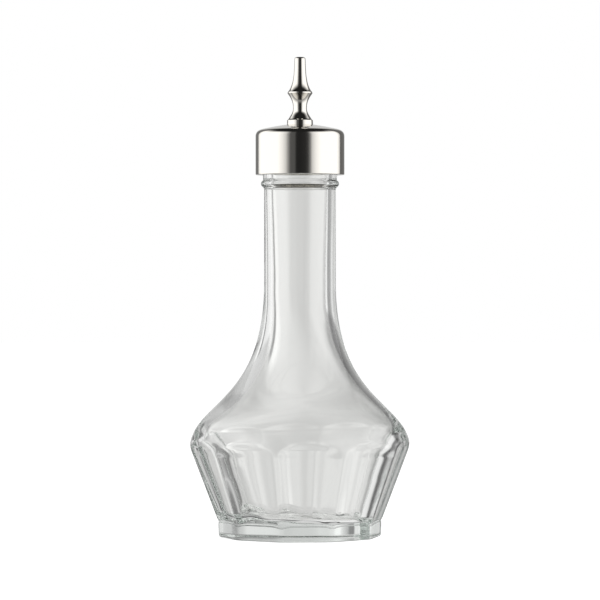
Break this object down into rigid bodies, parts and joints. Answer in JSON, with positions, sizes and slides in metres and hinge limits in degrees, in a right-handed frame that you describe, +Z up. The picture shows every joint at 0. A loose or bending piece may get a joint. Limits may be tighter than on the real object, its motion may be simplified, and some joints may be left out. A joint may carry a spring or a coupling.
{
  "type": "bitters bottle",
  "caption": "Clear glass bitters bottle with a long round neck, a faceted lower body and a low foot, closed by a domed steel cap with a pouring spire.",
  "frame": {"origin": "middle of the foot's underside, on the surface the bottle stands on", "axes": "+Z up along the bottle's axis, -Y towards the viewer, +X to the viewer's right"},
  "size_m": [0.0758, 0.0752, 0.165],
  "materials": {
    "clear_glass": "clear pressed glass, fire polished, with a faint grey-green in thick edges",
    "polished_steel": "polished stainless steel, turned"
  },
  "bodies": {
    "root": {"glass_bottle": "clear_glass", "dasher_cap": "polished_steel", "dasher_spire": "polished_steel"}
  },
  "joints": []
}
